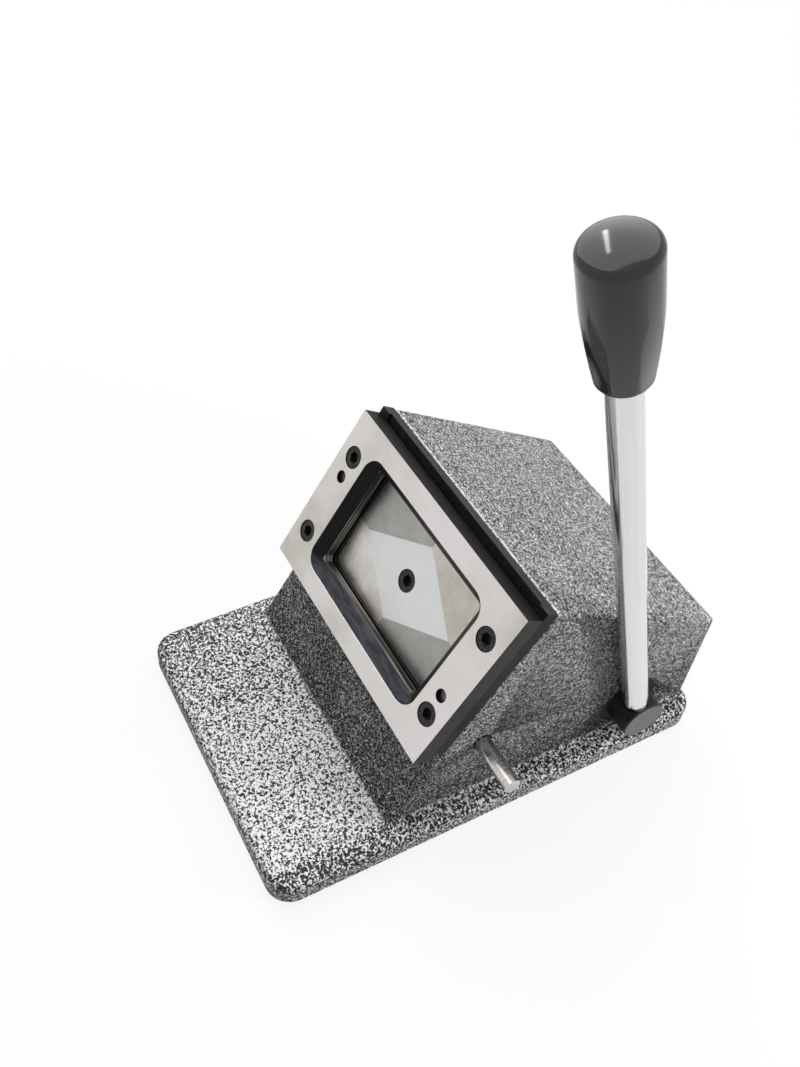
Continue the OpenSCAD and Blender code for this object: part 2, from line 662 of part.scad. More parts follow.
// ---------- lever ----------
module lever_rod() color([0.86, 0.87, 0.88]) on_lever() {
    rod_low = shaft_d / 2 + shoulder_gap;
    translate([0, 0, shaft_d / 2 - stub_in]) cylinder(d = stub_d, h = stub_in + shoulder_gap);
    translate([0, 0, rod_low]) cylinder(d = rod_d, h = grip_start + grip_socket - rod_low);
    translate([0, 0, grip_start + grip_socket]) cylinder(d = stub_d, h = insert_len);
}
module grip_outline() {
    e = grip_edge_r;
    taper = [for (i = [0:8]) let (s = i / 8)
        [grip_low_r + (grip_r - grip_low_r) * sin(90 * s), e + (grip_taper - e) * s]];
    low_edge = [for (a = [-90:15:-15]) [grip_low_r - e + e * cos(a), e + e * sin(a)]];
    top_edge = [for (a = [0:15:90]) [grip_r - e + e * cos(a), grip_len - e + e * sin(a)]];
    polygon(concat([[0, 0]], low_edge, taper, top_edge, [[0, grip_len]]));
}
module lever_grip() color([0.25, 0.25, 0.27]) on_lever() translate([0, 0, grip_start]) difference() {
    rotate_extrude() grip_outline();
    translate([0, 0, -hole_over]) cylinder(r = rod_d / 2 + seat_fit, h = grip_socket + hole_over);
    translate([0, 0, grip_socket])
        cylinder(r = stub_d / 2 + insert_wall + seat_fit, h = insert_len + face_gap);
}
module grip_insert() color([0.75, 0.62, 0.35]) on_lever() translate([0, 0, grip_start + grip_socket])
    difference() {
        cylinder(r = stub_d / 2 + insert_wall, h = insert_len);
        translate([0, 0, -hole_over]) cylinder(r = stub_d / 2 + seat_fit, h = insert_len + 2 * hole_over);
    }

// ---------- stop pin ----------
module stop_place() {
    at_shaft() rotate([lever_limit, 0, 0]) translate([0, -stop_side, stop_along]) children();
}
module stop_pin() color([0.72, 0.71, 0.68]) stop_place()
    translate([inner_half_w, 0, 0]) rotate([0, 90, 0]) turned_bar(stop_d, wall + stop_out);

body_casting();
bottom_cover();
cover_screws();
base_mat();
guide_plate();
die_plate();
die_screws();
locating_dowels();
punch();
punch_screw();
punch_dowels();
pressure_plate();
plunger();
plunger_bush();
return_spring();
lever_shaft();
cam();
cam_key();
shaft_collar();
grub_screws();
left_bush();
right_bush();
shaft_seal();
stop_pin();
lever_rod();
lever_grip();
grip_insert();
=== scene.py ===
"""Looks of a card cutter: a cast wedge body, a sloped steel die, a punch behind it and a hand lever.

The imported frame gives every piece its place.  This script makes the casting again with soft edges, moulds
the grip, and gives each piece its finish.  Lengths are metres; MM turns millimetres into metres.
"""
import math

import bmesh
import bpy
from mathutils import Matrix, Vector


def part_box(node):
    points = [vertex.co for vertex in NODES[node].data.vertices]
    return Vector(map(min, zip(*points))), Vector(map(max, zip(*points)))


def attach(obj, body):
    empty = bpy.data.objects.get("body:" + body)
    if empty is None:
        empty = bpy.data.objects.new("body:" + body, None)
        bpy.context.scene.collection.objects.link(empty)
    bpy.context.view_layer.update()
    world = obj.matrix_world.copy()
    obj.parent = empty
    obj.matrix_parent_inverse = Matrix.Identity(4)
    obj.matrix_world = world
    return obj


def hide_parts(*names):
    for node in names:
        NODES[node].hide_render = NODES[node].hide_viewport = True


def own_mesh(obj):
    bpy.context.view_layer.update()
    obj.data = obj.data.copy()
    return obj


MM = 0.001
PHOTO_HEIGHT = 1067                             # pixels
PIXEL = 36 / PHOTO_HEIGHT                       # one photograph pixel on a 36 mm sensor

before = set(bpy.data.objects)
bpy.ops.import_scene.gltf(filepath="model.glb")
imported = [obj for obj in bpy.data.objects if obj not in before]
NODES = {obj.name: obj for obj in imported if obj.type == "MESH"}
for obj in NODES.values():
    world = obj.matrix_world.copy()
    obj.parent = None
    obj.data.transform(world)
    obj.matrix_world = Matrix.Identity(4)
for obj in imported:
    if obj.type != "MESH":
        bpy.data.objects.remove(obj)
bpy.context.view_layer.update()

# ---------- sizes, from the frame and from the machine's drawing ----------
SLOPE = math.radians(60)                        # the front slope and the plates on it
DIE_T = 9 * MM
GUIDE_T = 6.5 * MM
BEVEL_RUN = 5.4 * MM
CARD = (85.6 * MM, 54 * MM)
DIAMOND = (71 * MM, 43 * MM)
DIAMOND_OFF = (1 * MM, -0.5 * MM)
BASE_T = 11.5 * MM
EDGE_R = 1.6 * MM                               # rounding of the body's outer edges
LEVER_LEAN = math.radians(18)
ROD_R = 6 * MM
ROD_FOOT = 14.6 * MM                            # top of the painted shadow ring where the rod enters the shaft

OUT = Vector((0, -math.sin(SLOPE), math.cos(SLOPE)))


def middle(node):
    low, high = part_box(node)
    return (low + high) / 2


# middle of the card opening, on the casting's front face; x runs across, y up the slope, z out of it
SLOPE_ORIGIN = middle("die_plate") - OUT * (GUIDE_T + DIE_T / 2)
SHAFT = middle("lever_shaft")
LEVER_ORIGIN = Vector((middle("lever_rod").x, SHAFT.y, SHAFT.z))
BASE_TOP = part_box("base_mat")[1].z + BASE_T
BASE_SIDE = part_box("body_casting")[1].x
BODY_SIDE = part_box("guide_plate")[1].x
BODY_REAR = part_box("body_casting")[1].y - 3.5 * MM
GUIDE_TOP = 46.5 * MM                           # top of the guide plate, up the slope
RIDGE = (0, 11 * MM, 129.9 * MM)                # where the front slope meets the roof
GRIP_START = 239 * MM                           # along the rod, from the shaft's axis
GRIP_TOP = 292 * MM


# ---------- materials ----------
class Finish:
    """One material: each call adds a node and returns its output."""

    def __init__(self, name, **sockets):
        self.material = bpy.data.materials.new(name)
        self.material.use_nodes = True
        self.tree = self.material.node_tree
        self.shader = self.tree.nodes["Principled BSDF"]
        for socket, value in sockets.items():
            self.shader.inputs[socket.replace("_", " ")].default_value = value

    def add(self, kind, inputs, output=0, **settings):
        node = self.tree.nodes.new("ShaderNode" + kind)
        for name, value in settings.items():
            setattr(node, name, value)
        for socket, value in inputs.items():
            if isinstance(value, bpy.types.NodeSocket):
                self.tree.links.new(value, node.inputs[socket])
            else:
                node.inputs[socket].default_value = value
        return node.outputs[output]

    def place(self, origin=(0, 0, 0), turn=(0, 0, 0)):
        """Object coordinates in metres, seen from an origin and a turned frame."""
        coords = self.add("TexCoord", {}, output="Object")
        return self.add("Mapping", {"Vector": coords, "Location": origin, "Rotation": turn},
                        vector_type="TEXTURE")

    def on_slope(self):
        return self.place(SLOPE_ORIGIN, (SLOPE, 0, 0))

    def on_lever(self):
        return self.place(LEVER_ORIGIN, (LEVER_LEAN, 0, 0))

    def stretch(self, vector, factors):
        return self.add("VectorMath", {0: vector, 1: factors}, operation="MULTIPLY")

    def axes(self, vector):
        node = self.tree.nodes.new("ShaderNodeSeparateXYZ")
        self.tree.links.new(vector, node.inputs[0])
        return node.outputs

    def noise(self, vector, scale, detail=2.0, rough=0.5, distortion=0.0):
        return self.add("TexNoise", {"Vector": vector, "Scale": scale, "Detail": detail,
                                     "Roughness": rough, "Distortion": distortion})

    def math(self, operation, a, b=0.0):
        return self.add("Math", {0: a, 1: b}, operation=operation)

    def rise(self, value, low, high, to_low=0.0, to_high=1.0):
        """value from low to high becomes to_low to to_high, and stays there outside."""
        return self.add("MapRange", {"Value": value, "From Min": low, "From Max": high,
                                     "To Min": to_low, "To Max": to_high})

    def vary(self, noise, low=0.0, high=1.0):
        """The span that a noise mostly keeps to, 0.3 to 0.7, becomes low to high."""
        return self.rise(noise, 0.3, 0.7, low, high)

    def ramp(self, value, *stops):
        node = self.tree.nodes.new("ShaderNodeValToRGB")
        self.tree.links.new(value, node.inputs[0])
        points = node.color_ramp.elements
        while len(points) < len(stops):
            points.new(0.5)
        for point, (position, colour) in zip(points, stops):
            point.position = position
            point.color = (*colour, 1)
        return node.outputs[0]

    def mix(self, factor, a, b):
        node = self.tree.nodes.new("ShaderNodeMix")
        node.data_type = "RGBA"
        for index, value in ((0, factor), (6, a), (7, b)):
            if isinstance(value, bpy.types.NodeSocket):
                self.tree.links.new(value, node.inputs[index])
            else:
                node.inputs[index].default_value = value if index == 0 else (*value, 1)
        return node.outputs[2]

    def drive(self, **sockets):
        """Links textures to the shader's sockets."""
        for socket, output in sockets.items():
            self.tree.links.new(output, self.shader.inputs[socket.replace("_", " ")])
        return self

    def bump(self, height, depth, strength=1.0):
        normal = self.add("Bump", {"Height": height, "Distance": depth, "Strength": strength})
        self.tree.links.new(normal, self.shader.inputs["Normal"])
        return self


def grey(value, warm=0.0):
    """A grey in linear light; warm lifts red and lowers blue by that share."""
    return (value * (1 + warm), value, value * (1 - warm))


def hammered_paint():
    """Silver paint that shrank into a net over black: wide cells on the flange, fine ones on the body."""
    f = Finish("hammered_paint", Specular_IOR_Level=0.25)
    place = f.place()
    x, y, height = f.axes(place)
    cloud = f.vary(f.noise(place, 25, detail=2.0), -0.012, 0.012)
    # painted shade: the net is darker low on the body and down the rim, where shade gathers, on the strip
    # beside the body, in the body's shadow, and towards the flange's left end, where the light falls off
    foot_shade_height, left_end, strip_start, rim_drop = 50 * MM, 62 * MM, 4 * MM, 3 * MM
    slope_middle = -20 * MM                     # along y, halfway down the front slope
    painted_foot_shade = f.rise(height, BASE_TOP, BASE_TOP + foot_shade_height, -0.072, 0)
    front = f.rise(y, RIDGE[1], slope_middle, 0, 0.002)
    left_end_shade = f.rise(x, -BASE_SIDE, left_end - BASE_SIDE, -0.046, 0.004)
    strip_shadow = f.rise(x, BODY_SIDE - strip_start, BODY_SIDE + 1 * MM, 0, -0.055)
    rim = f.rise(height, BASE_TOP - 0.3 * MM, BASE_TOP - rim_drop, 0, -0.06)
    base_shade = f.math("ADD", left_end_shade, f.math("MINIMUM", strip_shadow, rim))
    wide = f.math("ADD", f.noise(place, 780, detail=1.5, rough=0.5, distortion=0.8),
                  f.math("ADD", cloud, base_shade))
    narrow = f.math("ADD", f.noise(place, 1180, detail=1.0, rough=0.5, distortion=1.8),
                    f.math("ADD", cloud, f.math("ADD", painted_foot_shade, front)))
    # the flange's net has wider cells than the body's and is made whiter, partly a painted sheen for the
    # glints off its flat top
    base_paint_and_sheen = f.ramp(wide, (0.425, (0.020, 0.023, 0.030)), (0.465, grey(0.14)), (0.495, grey(0.65)),
                        (0.54, (0.92, 0.93, 0.94)))
    body_paint = f.ramp(narrow, (0.518, (0.006, 0.007, 0.010)), (0.543, grey(0.03)), (0.561, grey(0.5)),
                        (0.578, (0.95, 0.96, 0.98)))
    on_body = f.rise(height, BASE_TOP + 0.3 * MM, BASE_TOP + 1.5 * MM)
    # painted highlight: the ridge is painted bright in specks where its rounded edge catches the light
    from_ridge = f.add("VectorMath", {0: f.stretch(place, (0, 1, 1)), 1: RIDGE}, output="Value",
                       operation="DISTANCE")
    on_ridge = f.rise(from_ridge, 2.4 * MM, 1.4 * MM)
    specks = f.rise(f.noise(place, 1100, detail=1.0), 0.44, 0.5)
    ridge_highlight = f.mix(f.math("MULTIPLY", on_ridge, specks), body_paint, grey(0.85))
    relief = f.mix(on_body, f.rise(wide, 0.42, 0.56), f.rise(narrow, 0.47, 0.62, 0, 0.7))
    f.drive(Base_Color=f.mix(on_body, base_paint_and_sheen, ridge_highlight), Roughness=f.rise(relief, 0, 1, 0.6, 0.38))
    return f.bump(relief, 0.2 * MM, 0.7).material


def brushed(name, colour, direction, lines=2600, rough=(0.3, 0.45), tint=0.06, place=None):
    """Machined bright metal: fine lines along one direction, with faint blotches."""
    f = Finish(name, Metallic=1.0)
    place = place(f) if place else f.place()
    streak = f.noise(f.stretch(place, direction), lines, detail=3.0, rough=0.65)
    blotch = f.noise(place, 45, detail=3.0)
    shade = f.math("ADD", f.vary(streak, -tint, tint), f.vary(blotch, -tint / 2, tint / 2))
    dark = tuple(c * (1 - 3 * tint) for c in colour)
    light = tuple(min(1, c * (1 + 3 * tint)) for c in colour)
    f.drive(Base_Color=f.mix(f.rise(shade, -1.5 * tint, 1.5 * tint), dark, light),
            Roughness=f.vary(streak, *rough))
    return f.bump(streak, 0.01 * MM, 0.5).material


def face_mask(f, height, edge, width=0.15 * MM):
    return f.rise(height, edge - width, edge + width)


def ground_steel():
    """Die plate: its face is ground bright, the bevel and the edges stay blackened, with a painted
    reflection on the lower bevel, and the land is bare.
    """
    f = Finish("ground_steel", Specular_IOR_Level=0.15)
    place = f.on_slope()
    x, v, n = f.axes(place)
    lines = f.noise(f.stretch(place, (0.03, 1, 1)), 1700, detail=3.0, rough=0.6)
    blotch = f.noise(place, 22, detail=4.0, rough=0.6)
    tone = f.math("ADD", f.vary(lines, 0, 0.12), f.vary(blotch, 0, 0.88))
    face = f.ramp(tone, (0.15, (0.51, 0.48, 0.44)), (0.5, (0.62, 0.60, 0.575)), (0.85, (0.68, 0.645, 0.64)))
    smear = f.noise(f.stretch(place, (0.2, 1, 1)), 420, detail=4.0, rough=0.65)
    # painted reflection: the lower bevel is painted a bluish dark grey for the surroundings it mirrors
    low_bevel_reflection = f.mix(f.rise(smear, 0.4, 0.7), (0.014, 0.015, 0.019), (0.07, 0.077, 0.095))
    black = f.mix(f.rise(smear, 0.4, 0.75), grey(0.003), grey(0.010))
    skin = f.mix(f.rise(smear, 0.4, 0.75), (0.024, 0.026, 0.024), (0.045, 0.048, 0.044))
    card_low = -CARD[1] / 2
    bevel_end = card_low - BEVEL_RUN
    low_bevel = f.math("MULTIPLY", f.rise(v, card_low, card_low - 0.4 * MM),
                       f.rise(v, bevel_end - 1 * MM, bevel_end - 0.5 * MM))
    land_lines = f.noise(f.stretch(place, (0.02, 0.02, 1)), 900, detail=2.0)
    land = f.mix(f.rise(land_lines, 0.44, 0.56), grey(0.03, 0.08), grey(0.17, 0.1))
    on_face = face_mask(f, n, GUIDE_T + DIE_T - 0.08 * MM, 0.05 * MM)
    within = [f.rise(f.math("ABSOLUTE", axis), size / 2 + 0.4 * MM, size / 2 + 0.2 * MM)
              for axis, size in zip((x, v), CARD)]
    in_land = f.math("MULTIPLY", *within)
    at_ends = face_mask(f, f.math("ABSOLUTE", x), BODY_SIDE - 0.3 * MM)
    dark = f.mix(at_ends, f.mix(low_bevel, black, low_bevel_reflection), skin)
    bright = f.math("MAXIMUM", on_face, in_land)
    f.drive(Base_Color=f.mix(on_face, f.mix(in_land, dark, land), face), Metallic=bright,
            Roughness=f.rise(bright, 0, 1, 0.5, 0.38))
    return f.bump(lines, 0.005 * MM, 0.5).material


def punch_steel():
    """Punch: a bright ground diamond and four facets, each pair ground its own way; the facets carry painted
    shade and light for their tilt, and the left ones are painted lighter against the shade of their corner.
    """
    f = Finish("punch_steel", Metallic=1.0)
    place = f.on_slope()
    x, v, n = f.axes(place)
    dx = f.math("SUBTRACT", x, DIAMOND_OFF[0])
    dv = f.math("SUBTRACT", v, DIAMOND_OFF[1])
    reach = f.math("ADD", f.math("DIVIDE", f.math("ABSOLUTE", dx), DIAMOND[0] / 2),
                   f.math("DIVIDE", f.math("ABSOLUTE", dv), DIAMOND[1] / 2))
    in_diamond = f.rise(reach, 1.006, 0.994)
    same_sign = f.rise(f.math("MULTIPLY", dx, dv), -1e-7, 1e-7)
    across = f.noise(f.stretch(place, (0.06, 1, 1)), 1500, detail=3.0, rough=0.6)
    along = f.noise(f.stretch(place, (1, 0.06, 1)), 1500, detail=3.0, rough=0.6)
    blotch = f.noise(place, 130, detail=5.0, rough=0.65)
    rub = f.math("ADD", f.vary(across, 0, 0.35), f.vary(blotch, 0, 0.65))
    rub_along = f.math("ADD", f.vary(along, 0, 0.35), f.vary(blotch, 0, 0.65))
    diamond = f.mix(rub, (0.59, 0.605, 0.595), (0.67, 0.685, 0.675))
    # painted shade and light: top and bottom facets darker, side facets lighter, as the light falls on their
    # tilt
    shaded_facets = f.mix(rub, (0.28, 0.275, 0.26), (0.42, 0.415, 0.40))
    lit_facets = f.mix(rub_along, (0.40, 0.375, 0.335), (0.57, 0.545, 0.495))
    # painted light: the left side facets are lighter still, to lift the shade in that deep corner
    lit_facets_left = f.mix(rub_along, (0.56, 0.54, 0.51), (0.86, 0.84, 0.80))
    side = f.mix(f.rise(x, 10 * MM, -20 * MM), lit_facets, lit_facets_left)
    f.drive(Base_Color=f.mix(in_diamond, f.mix(same_sign, shaded_facets, side), diamond),
            Roughness=f.rise(rub, 0, 1, 0.36, 0.5))
    return f.bump(f.mix(same_sign, across, along), 0.008 * MM, 0.5).material


def blackened_steel():
    """Guide plate: black all over, rubbed a little on the top edge where sheets slide in."""
    f = Finish("blackened_steel", Specular_IOR_Level=0.14)
    place = f.on_slope()
    v = f.axes(place)[1]
    wear = f.noise(place, 300, detail=4.0, rough=0.65)
    lines = f.noise(f.stretch(place, (0.03, 1, 1)), 1500, detail=2.0)
    black = f.mix(f.rise(wear, 0.35, 0.75), grey(0.003), grey(0.011))
    rim = f.mix(f.rise(lines, 0.35, 0.65), grey(0.015), grey(0.04))
    on_rim = face_mask(f, v, GUIDE_TOP - 0.3 * MM)
    f.drive(Base_Color=f.mix(on_rim, black, rim), Metallic=f.rise(on_rim, 0, 1, 0, 0.5),
            Roughness=f.vary(wear, 0.42, 0.58))
    return f.bump(lines, 0.01 * MM, 0.4).material


def black_oxide():
    """Socket screws: oiled black oxide, a little worn on the rim."""
    f = Finish("black_screws", Metallic=0.5, Specular_IOR_Level=0.4)
    wear = f.noise(f.place(), 900, detail=3.0, rough=0.6)
    f.drive(Base_Color=f.ramp(wear, (0.35, grey(0.012)), (0.55, grey(0.03)), (0.72, grey(0.07))),
            Roughness=f.vary(wear, 0.32, 0.5))
    return f.bump(wear, 0.02 * MM, 0.4).material


def turned_steel(name, colour, along, origin, turn=(0, 0, 0), rough=(0.28, 0.42), tint=0.08):
    """Turned bar: fine rings round its own axis."""
    f = Finish(name, Metallic=1.0)
    place = f.place(origin, turn)
    squash = tuple(1.0 if axis == along else 0.02 for axis in "xyz")
    rings = f.noise(f.stretch(place, squash), 2200, detail=3.0, rough=0.6)
    stain = f.noise(place, 140, detail=4.0, rough=0.6)
    low = tuple(c * (1 - 3 * tint) for c in colour)
    high = tuple(min(1.0, c * (1 + 2 * tint)) for c in colour)
    level = f.math("ADD", f.vary(rings, 0, 0.5), f.vary(stain, 0, 0.5))
    f.drive(Base_Color=f.mix(level, low, high), Roughness=f.rise(level, 0.1, 0.9, *rough))
    return f.bump(rings, 0.02 * MM, 0.5).material


def dark_shaft():
    """Lever shaft: blackened bar whose end was turned bare."""
    f = Finish("shaft_steel", Specular_IOR_Level=0.3)
    place = f.place(tuple(SHAFT))
    rings = f.noise(f.stretch(place, (0.05, 1, 1)), 1500, detail=3.0, rough=0.6)
    stain = f.noise(place, 200, detail=4.0, rough=0.6)
    at_end = face_mask(f, f.axes(place)[0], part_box("lever_shaft")[1].x - SHAFT.x - 0.25 * MM, 0.1 * MM)
    skin = f.mix(f.rise(stain, 0.35, 0.7), grey(0.008), grey(0.03))
    bare = f.mix(f.rise(f.math("ADD", rings, stain), 0.7, 1.3), grey(0.13), grey(0.19))
    f.drive(Base_Color=f.mix(at_end, skin, bare), Metallic=f.rise(at_end, 0, 1, 0.1, 0.9),
            Roughness=f.vary(stain, 0.4, 0.55))
    return f.bump(rings, 0.01 * MM, 0.4).material


def chrome():
    """Plated lever rod, with faint lengthwise polishing marks and a painted shadow ring at its foot."""
    f = Finish("rod_chrome", Metallic=1.0)
    place = f.on_lever()
    polish = f.noise(f.stretch(place, (1, 1, 0.01)), 1800, detail=3.0)
    haze = f.noise(f.stretch(place, (1, 1, 0.02)), 260, detail=3.0)
    plate = f.mix(f.vary(haze), grey(0.64), grey(0.74))
    # painted shadow: a dark ring round the rod's foot, for the shadow gap where it meets the shaft
    ragged = f.math("ADD", f.axes(place)[2], f.vary(f.noise(place, 400), -0.8 * MM, 0.8 * MM))
    painted_foot_shade = f.rise(ragged, ROD_FOOT + 0.2 * MM, ROD_FOOT)
    f.drive(Base_Color=f.mix(painted_foot_shade, plate, grey(0.02)),
            Roughness=f.rise(f.math("ADD", polish, haze), 0.7, 1.3, 0.10, 0.2))
    return f.bump(polish, 0.004 * MM, 0.4).material


def grip_plastic():
    """Glossy dark plastic with a faint ripple from the mould."""
    f = Finish("grip_plastic", Specular_IOR_Level=0.42, Coat_Weight=0.1, Coat_Roughness=0.06)
    place = f.on_lever()
    ripple = f.noise(place, 110, detail=2.0)
    dust = f.noise(place, 2500, detail=2.0)
    f.drive(Base_Color=f.mix(f.vary(ripple), grey(0.009), grey(0.014)),
            Roughness=f.rise(dust, 0.3, 0.75, 0.08, 0.16))
    return f.bump(ripple, 0.06 * MM, 0.25).material


def rubber(name, tone=0.02):
    """Matt rubber with a fine skin and a little dust."""
    f = Finish(name, Specular_IOR_Level=0.3)
    place = f.place()
    skin = f.noise(place, 1400, detail=3.0)
    dust = f.noise(place, 60, detail=3.0)
    f.drive(Base_Color=f.mix(f.rise(dust, 0.35, 0.7), grey(tone), grey(tone * 2.2)),
            Roughness=f.vary(skin, 0.65, 0.85))
    return f.bump(skin, 0.05 * MM, 0.5).material


def sheet_paint():
    """Black painted cover sheet with orange peel."""
    f = Finish("cover_steel", Specular_IOR_Level=0.4)
    place = f.place()
    peel = f.noise(place, 700, detail=1.0)
    scuff = f.noise(f.stretch(place, (1, 0.2, 1)), 90, detail=4.0, rough=0.7)
    f.drive(Base_Color=f.ramp(scuff, (0.4, grey(0.02)), (0.65, grey(0.035)), (0.75, grey(0.09))),
            Roughness=f.vary(peel, 0.35, 0.5))
    return f.bump(peel, 0.06 * MM, 0.4).material


def zinc():
    """Zinc plating: bright, with large soft crystals."""
    f = Finish("zinc_screws", Metallic=1.0)
    place = f.place()
    crystal = f.add("TexVoronoi", {"Vector": place, "Scale": 900}, output="Color")
    tone = f.rise(f.add("SeparateColor", {0: crystal}), 0, 1)
    f.drive(Base_Color=f.mix(tone, (0.50, 0.51, 0.54), (0.68, 0.69, 0.71)),
            Roughness=f.rise(tone, 0, 1, 0.25, 0.4))
    return f.bump(tone, 0.01 * MM, 0.3).material


def finishes():
    """Node names and the material that each shows."""
    shaft_at = tuple(SHAFT)
    bright_turned = turned_steel("pin_steel", grey(0.56, 0.04), "x", tuple(middle("stop_pin")),
                                 rough=(0.14, 0.3), tint=0.14)
    on_axis = (tuple(SLOPE_ORIGIN), (SLOPE, 0, 0))
    plain = turned_steel("machined_steel", grey(0.45), "z", *on_axis)
    cam_steel = turned_steel("cam_steel", grey(0.42), "x", shaft_at)
    # painted shade: the dowel steel is painted dark for the shade in the dowel holes
    shaded_dowels = turned_steel("dowel_steel", grey(0.11, 0.03), "z", *on_axis)
    bronze = turned_steel("bronze", (0.50, 0.29, 0.10), "x", shaft_at)
    bush = turned_steel("bush_bronze", (0.50, 0.29, 0.10), "z", *on_axis)
    brass = turned_steel("brass", (0.62, 0.42, 0.14), "z", tuple(LEVER_ORIGIN), (LEVER_LEAN, 0, 0))
    oxide = black_oxide()
    return {
        "bottom_cover": sheet_paint(), "cover_screws": zinc(), "base_mat": rubber("black_rubber"),
        "guide_plate": blackened_steel(), "die_plate": ground_steel(), "die_screws": oxide,
        "locating_dowels": shaded_dowels, "punch": punch_steel(), "punch_screw": oxide, "punch_dowels": shaded_dowels,
        "pressure_plate": brushed("plate_steel", grey(0.42), (0.02, 1, 1), place=Finish.on_slope),
        "plunger": plain, "plunger_bush": bush,
        "return_spring": brushed("spring_steel", grey(0.35), (1, 1, 1), lines=900),
        "lever_shaft": dark_shaft(), "cam": cam_steel,
        "cam_key": brushed("key_steel", grey(0.45), (0.02, 1, 1)),
        "shaft_collar": cam_steel, "grub_screws": oxide, "left_bush": bronze, "right_bush": bronze,
        # the shaft seal is black rubber, made near black so that it also stands in for the shadow round the
        # hub
        "shaft_seal": rubber("seal_rubber", 0.008), "stop_pin": bright_turned, "lever_rod": chrome(),
        "grip_insert": brass,
    }


def dress(piece, material):
    piece.data.materials.clear()
    piece.data.materials.append(material)


# ---------- pieces ----------
def new_piece(name, shape, material, body, nodes, smooth_below=30):
    """Makes a piece from a bmesh and lets it stand for its CAD nodes."""
    mesh = bpy.data.meshes.new(name)
    bmesh.ops.recalc_face_normals(shape, faces=shape.faces)
    shape.to_mesh(mesh)
    shape.free()
    mesh.polygons.foreach_set("use_smooth", [True] * len(mesh.polygons))
    mesh.set_sharp_from_angle(angle=math.radians(smooth_below))
    piece = bpy.data.objects.new(name, mesh)
    bpy.context.scene.collection.objects.link(piece)
    mesh.materials.append(material)
    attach(piece, body)
    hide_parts(*nodes)
    return piece


def cast_body():
    """The casting with rounded outer edges and a fillet where the body meets the base."""
    shape = bmesh.new()
    shape.from_mesh(NODES["body_casting"].data)
    bmesh.ops.remove_doubles(shape, verts=shape.verts, dist=0.01 * MM)
    bmesh.ops.dissolve_limit(shape, angle_limit=math.radians(0.5), verts=shape.verts, edges=shape.edges)
    near = 0.05 * MM

    def outer(edge):
        ends = [v.co for v in edge.verts]
        on_sides = all(abs(abs(co.x) - BODY_SIDE) < near and co.z > BASE_TOP - near for co in ends)
        if not on_sides or edge.calc_length() < 10 * MM or len(edge.link_faces) != 2:
            return False
        rear_foot = all(co.y > BODY_REAR - near and co.z < BASE_TOP + near for co in ends)
        return edge.calc_face_angle() > math.radians(20) and not rear_foot

    bmesh.ops.bevel(shape, geom=[e for e in shape.edges if outer(e)], offset=EDGE_R,
                    offset_type="OFFSET", segments=4, profile=0.5, affect="EDGES", material=-1)
    return new_piece("cast_body", shape, hammered_paint(), "machine_body", ["body_casting"])


def turned_profile(profile, steps=96):
    """A closed turned solid from (radius, height) points between two points on the axis."""
    shape = bmesh.new()
    verts = [shape.verts.new((r, 0, z)) for r, z in profile]
    edges = [shape.edges.new(pair) for pair in zip(verts, verts[1:])]
    bmesh.ops.spin(shape, geom=verts + edges, cent=(0, 0, 0), axis=(0, 0, 1), dvec=(0, 0, 0),
                   angle=2 * math.pi, steps=steps, use_merge=True, use_duplicate=False)
    bmesh.ops.remove_doubles(shape, verts=shape.verts, dist=0.005 * MM)
    return shape


def arc(centre, radius, start, end, steps):
    """Points of an arc in (radius, height), in degrees."""
    turns = [math.radians(start + (end - start) * i / steps) for i in range(steps + 1)]
    return [(centre[0] + radius * math.cos(t), centre[1] + radius * math.sin(t)) for t in turns]


